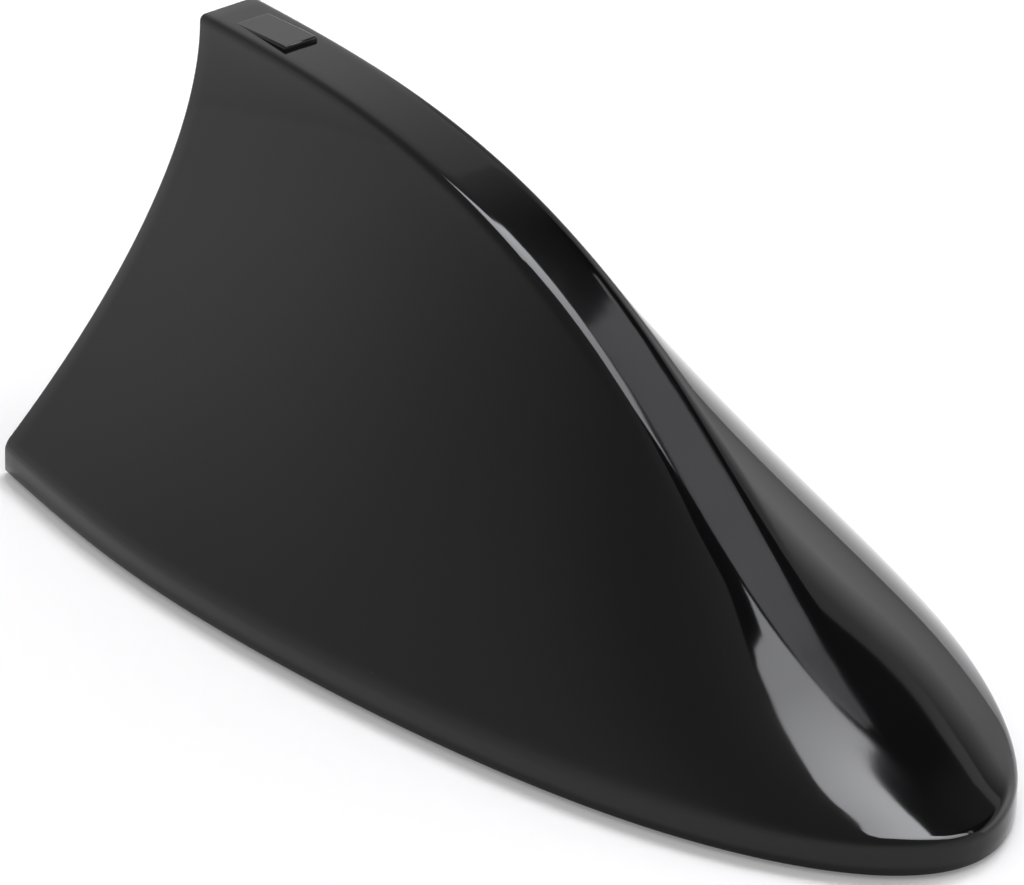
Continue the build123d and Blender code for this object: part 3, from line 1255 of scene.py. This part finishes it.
@dataclass
class Studio:
    """The white room with its floor, lit cards, back wall, black panel, lamp and camera."""

    azimuth: float = 52.0
    elevation: float = 29.4
    distance: float = 900.0
    target: Point = (-2.115, -10.657, 29.156)
    focal_pixels: float = 6788.0
    image_width: int = 1024
    ceiling: float = 1200.0
    card_gap: float = 5.0
    softbox: tuple[Spot, ...] = (
        (-400, 744), (20, 738), (500, 760), (362, 524), (300, 500), (170, 505), (60, 488), (-10, 470),
        (-50, 440), (-85, 400), (-125, 355), (-150, 280), (-140, 165), (-534, 213),
    )
    softbox_glow: Spot = (11.0, 7.0)
    softbox_fade: Spot = (-320.0, 160.0)
    strip: tuple[Spot, ...] = (
        (-130, 800), (60, 757), (240, 772), (560, 820),
        (560, 900), (430, 862), (230, 822), (40, 822), (-130, 832),
    )
    strip_glow: Spot = (2.2, 2.4)
    strip_fade: Spot = (0.0, 500.0)
    key_middle: Point = (-130.0, 450.0, 1180.0)
    key_size: Spot = (600.0, 500.0)
    key_glow: float = 1.0
    wall_y: float = 1500.0
    wall_half: float = 1500.0
    wall_fade: Spot = (800.0, 1420.0)
    wall_glow: Spot = (2.6, 0.8)
    wall_foot: float = 0.5
    wall_side: Spot = (-750.0, 0.0)
    wall_side_share: float = 0.2
    panel_x: Spot = (-720.0, 640.0)
    panel_y: Spot = (480.0, 1120.0)
    panel_fade: Spot = (-720.0, -370.0)
    panel_glow: Spot = (0.52, 0.0)
    floor_side: float = 6000.0
    floor_drop: float = 0.2
    floor_white: float = 0.93
    floor_fade: Spot = (400.0, 2200.0)
    floor_glow: Spot = (0.1, 0.4)
    room_up: Point = (0.0, -0.2, 0.97)
    room_fade: tuple[Spot, ...] = (
        (0.2, 1.07), (0.34, 1.0), (0.53, 0.8), (0.7, 0.57), (0.85, 0.43), (1.0, 0.3),
    )
    cool: Colour = (0.955, 0.96, 1.0)
    warm: Colour = (1.0, 0.98, 0.975)

    def camera(self) -> None:
        """Set up the camera at the angle of the photograph."""
        a, e = math.radians(self.azimuth), math.radians(self.elevation)
        back = Vector((math.sin(a) * math.cos(e), -math.cos(a) * math.cos(e), math.sin(e)))
        bpy.ops.object.camera_add(location=(Vector(self.target) + back * self.distance) * MM)
        camera = bpy.context.active_object
        camera.rotation_euler = (-back).to_track_quat("-Z", "Y").to_euler()
        camera.data.sensor_width = 36.0
        camera.data.lens = self.focal_pixels / self.image_width * camera.data.sensor_width
        camera.data.clip_start = 0.01
        bpy.context.scene.camera = camera

    def lamp(self) -> None:
        """Put up the flat key lamp, face down, which reflections don't see."""
        bpy.ops.object.light_add(type="AREA", location=Vector(self.key_middle) * MM)
        lamp = bpy.context.active_object
        lamp.name = "key_light"
        lamp.data.shape = "RECTANGLE"
        lamp.data.size = self.key_size[0] * MM
        lamp.data.size_y = self.key_size[1] * MM
        lamp.data.energy = self.key_glow * math.pi * lamp.data.size * lamp.data.size_y
        lamp.data.color = self.cool
        lamp.visible_camera = False
        lamp.visible_glossy = False

    def fade(self, r: Recipe, axis: str, edges: Spot, levels: Spot) -> Socket:
        """Change a level between two places along an axis.

        Args:
            r: Recipe to add it to.
            axis: Name of the axis.
            edges: The two places.
            levels: The level at both.

        Returns:
            The level.
        """
        return r.span(r.along(axis), (edges[0] * MM, edges[1] * MM), levels)

    def light_up(self, r: Recipe, colour: Colour, glow: Socket) -> None:
        """Make a recipe that only shines.

        Args:
            r: The recipe.
            colour: Colour of the light.
            glow: Its brightness, where 1 is white.
        """
        r.plug(
            r.shader, Base_Color=(0.0, 0.0, 0.0, 1.0), Specular_IOR_Level=0.0,
            Emission_Color=(*colour, 1.0), Emission_Strength=glow,
        )

    def only_reflected(self, piece: bpy.types.Object) -> None:
        """Let only reflections see a piece of the studio.

        Args:
            piece: The wall or panel.
        """
        piece.visible_camera = False
        piece.visible_diffuse = False
        piece.visible_shadow = False
        piece.visible_transmission = False

    def plane(self, name: str) -> bpy.types.Object:
        """Add a square of two units, to be shaped.

        Args:
            name: Name of the object.

        Returns:
            The square, its corners at plus and minus one.
        """
        bpy.ops.object.select_all(action="DESELECT")
        bpy.ops.mesh.primitive_plane_add(size=2)
        plane = bpy.context.active_object
        plane.name = name
        return plane

    def card(self, name: str, corners: tuple[Spot, ...], height: float, edges: Spot, glow: Spot) -> None:
        """Hang a lit card of any outline, face down.

        Args:
            name: Name of the card.
            corners: Its corners in plan, in order.
            height: How high it hangs.
            edges: Two places along X between which its brightness changes.
            glow: Brightness at both, where 1 is white.
        """
        bpy.ops.object.select_all(action="DESELECT")
        bpy.ops.mesh.primitive_circle_add(vertices=len(corners), fill_type="NGON")
        card = bpy.context.active_object
        card.name = name
        for vertex, (x, y) in zip(card.data.vertices, corners):
            vertex.co = Vector((x, y, height)) * MM
        r = Recipe(name)
        self.light_up(r, self.cool, self.fade(r, "X", edges, glow))
        card.data.materials.append(r.material)
        card.visible_camera = False

    def wall(self) -> None:
        """Stand up the bright wall behind the part, which only reflections see."""
        wall = self.plane("back_wall")
        for vertex in wall.data.vertices:
            z = self.wall_fade[1] if vertex.co.y > 0 else 0.0
            vertex.co = Vector((vertex.co.x * self.wall_half, self.wall_y, z)) * MM
        r = Recipe("back_wall")
        upper = self.fade(r, "Z", self.wall_fade, self.wall_glow)
        lower = self.fade(r, "Z", (0.0, self.wall_fade[0]), (self.wall_foot, 1.0))
        side = self.fade(r, "X", self.wall_side, (self.wall_side_share, 1.0))
        self.light_up(r, self.warm, r.times(r.times(upper, lower), side))
        wall.data.materials.append(r.material)
        self.only_reflected(wall)

    def panel(self) -> None:
        """Hang the black panel over the softbox, which only reflections see."""
        panel = self.plane("black_panel")
        for vertex in panel.data.vertices:
            x = self.panel_x[1] if vertex.co.x > 0 else self.panel_x[0]
            y = self.panel_y[1] if vertex.co.y > 0 else self.panel_y[0]
            vertex.co = Vector((x, y, self.ceiling + 4 * self.card_gap)) * MM
        r = Recipe("black_cloth")
        self.light_up(r, self.warm, self.fade(r, "X", self.panel_fade, self.panel_glow))
        panel.data.materials.append(r.material)
        self.only_reflected(panel)

    def floor(self) -> None:
        """Lay the white floor, which keeps the shadow and looks white to the camera."""
        floor = self.plane("floor")
        for vertex in floor.data.vertices:
            x, y, _ = vertex.co * self.floor_side / 2
            vertex.co = Vector((x, y, -self.floor_drop)) * MM
        r = Recipe("white_floor")
        path = r.add("ShaderNodeLightPath")
        seen = r.add("ShaderNodeMath", operation="MAXIMUM")
        r.tree.links.new(path.outputs["Is Camera Ray"], seen.inputs[0])
        r.tree.links.new(path.outputs["Is Glossy Ray"], seen.inputs[1])
        through = r.add("ShaderNodeMath", operation="MAXIMUM")
        r.tree.links.new(seen.outputs[0], through.inputs[0])
        r.tree.links.new(path.outputs["Is Transmission Ray"], through.inputs[1])
        far = r.add("ShaderNodeVectorMath", operation="LENGTH")
        r.tree.links.new(r.place, far.inputs[0])
        start, end = self.floor_fade
        glow = r.span(far.outputs["Value"], (start * MM, end * MM), self.floor_glow)
        white = (self.floor_white, self.floor_white, self.floor_white, 1.0)
        r.plug(
            r.shader, Base_Color=white, Roughness=0.9, Specular_IOR_Level=0.0,
            Emission_Color=(1.0, 1.0, 1.0, 1.0), Emission_Strength=r.times(through.outputs[0], glow),
        )
        floor.data.materials.append(r.material)

    def room(self) -> None:
        """Make the white room, darker towards the ceiling, and plain white to the camera."""
        world = bpy.data.worlds.new("studio_room")
        bpy.context.scene.world = world
        world.use_nodes = True
        nodes, links = world.node_tree.nodes, world.node_tree.links
        place = nodes.new("ShaderNodeTexCoord")
        up = nodes.new("ShaderNodeVectorMath")
        up.operation = "DOT_PRODUCT"
        links.new(place.outputs["Generated"], up.inputs[0])
        up.inputs[1].default_value = self.room_up
        fade = nodes.new("ShaderNodeValToRGB")
        fade.color_ramp.interpolation = "B_SPLINE"
        ends = fade.color_ramp.elements
        ends[1].position, ends[0].position = self.room_fade[-1][0], self.room_fade[0][0]
        for height, _ in self.room_fade[1:-1]:
            fade.color_ramp.elements.new(height)
        for element, (_, level) in zip(fade.color_ramp.elements, self.room_fade):
            element.color = (*(level * part for part in self.warm), 1.0)
        links.new(up.outputs["Value"], fade.inputs[0])
        path = nodes.new("ShaderNodeLightPath")
        seen = nodes.new("ShaderNodeMix")
        seen.data_type = "RGBA"
        links.new(path.outputs["Is Camera Ray"], seen.inputs["Factor"])
        links.new(fade.outputs[0], seen.inputs[6])
        seen.inputs[7].default_value = (1.0, 1.0, 1.0, 1.0)
        links.new(seen.outputs[2], nodes["Background"].inputs["Color"])

    def build(self) -> None:
        """Make room, floor, cards, lamp, wall, panel and camera."""
        bpy.context.scene.view_settings.view_transform = "Standard"
        self.room()
        self.floor()
        hang = self.ceiling
        self.card("softbox", self.softbox, hang, self.softbox_fade, self.softbox_glow)
        self.card("crown_strip", self.strip, hang + self.card_gap, self.strip_fade, self.strip_glow)
        self.lamp()
        self.wall()
        self.panel()
        self.camera()


def main() -> None:
    """Build and dress every piece, then the studio."""
    shelf = PaintShelf()
    cover = FinCover().build(shelf)
    log.info("%s: %d faces", cover.name, len(cover.data.polygons))
    screws = CoverScrews().build(shelf)
    log.info("%s: %d faces", screws.name, len(screws.data.polygons))
    for name in CarriedPieces().build(shelf):
        log.info("%s: dressed", name)
    Studio().build()
    log.info("studio: set up")


if __name__ == "__main__":
    main()
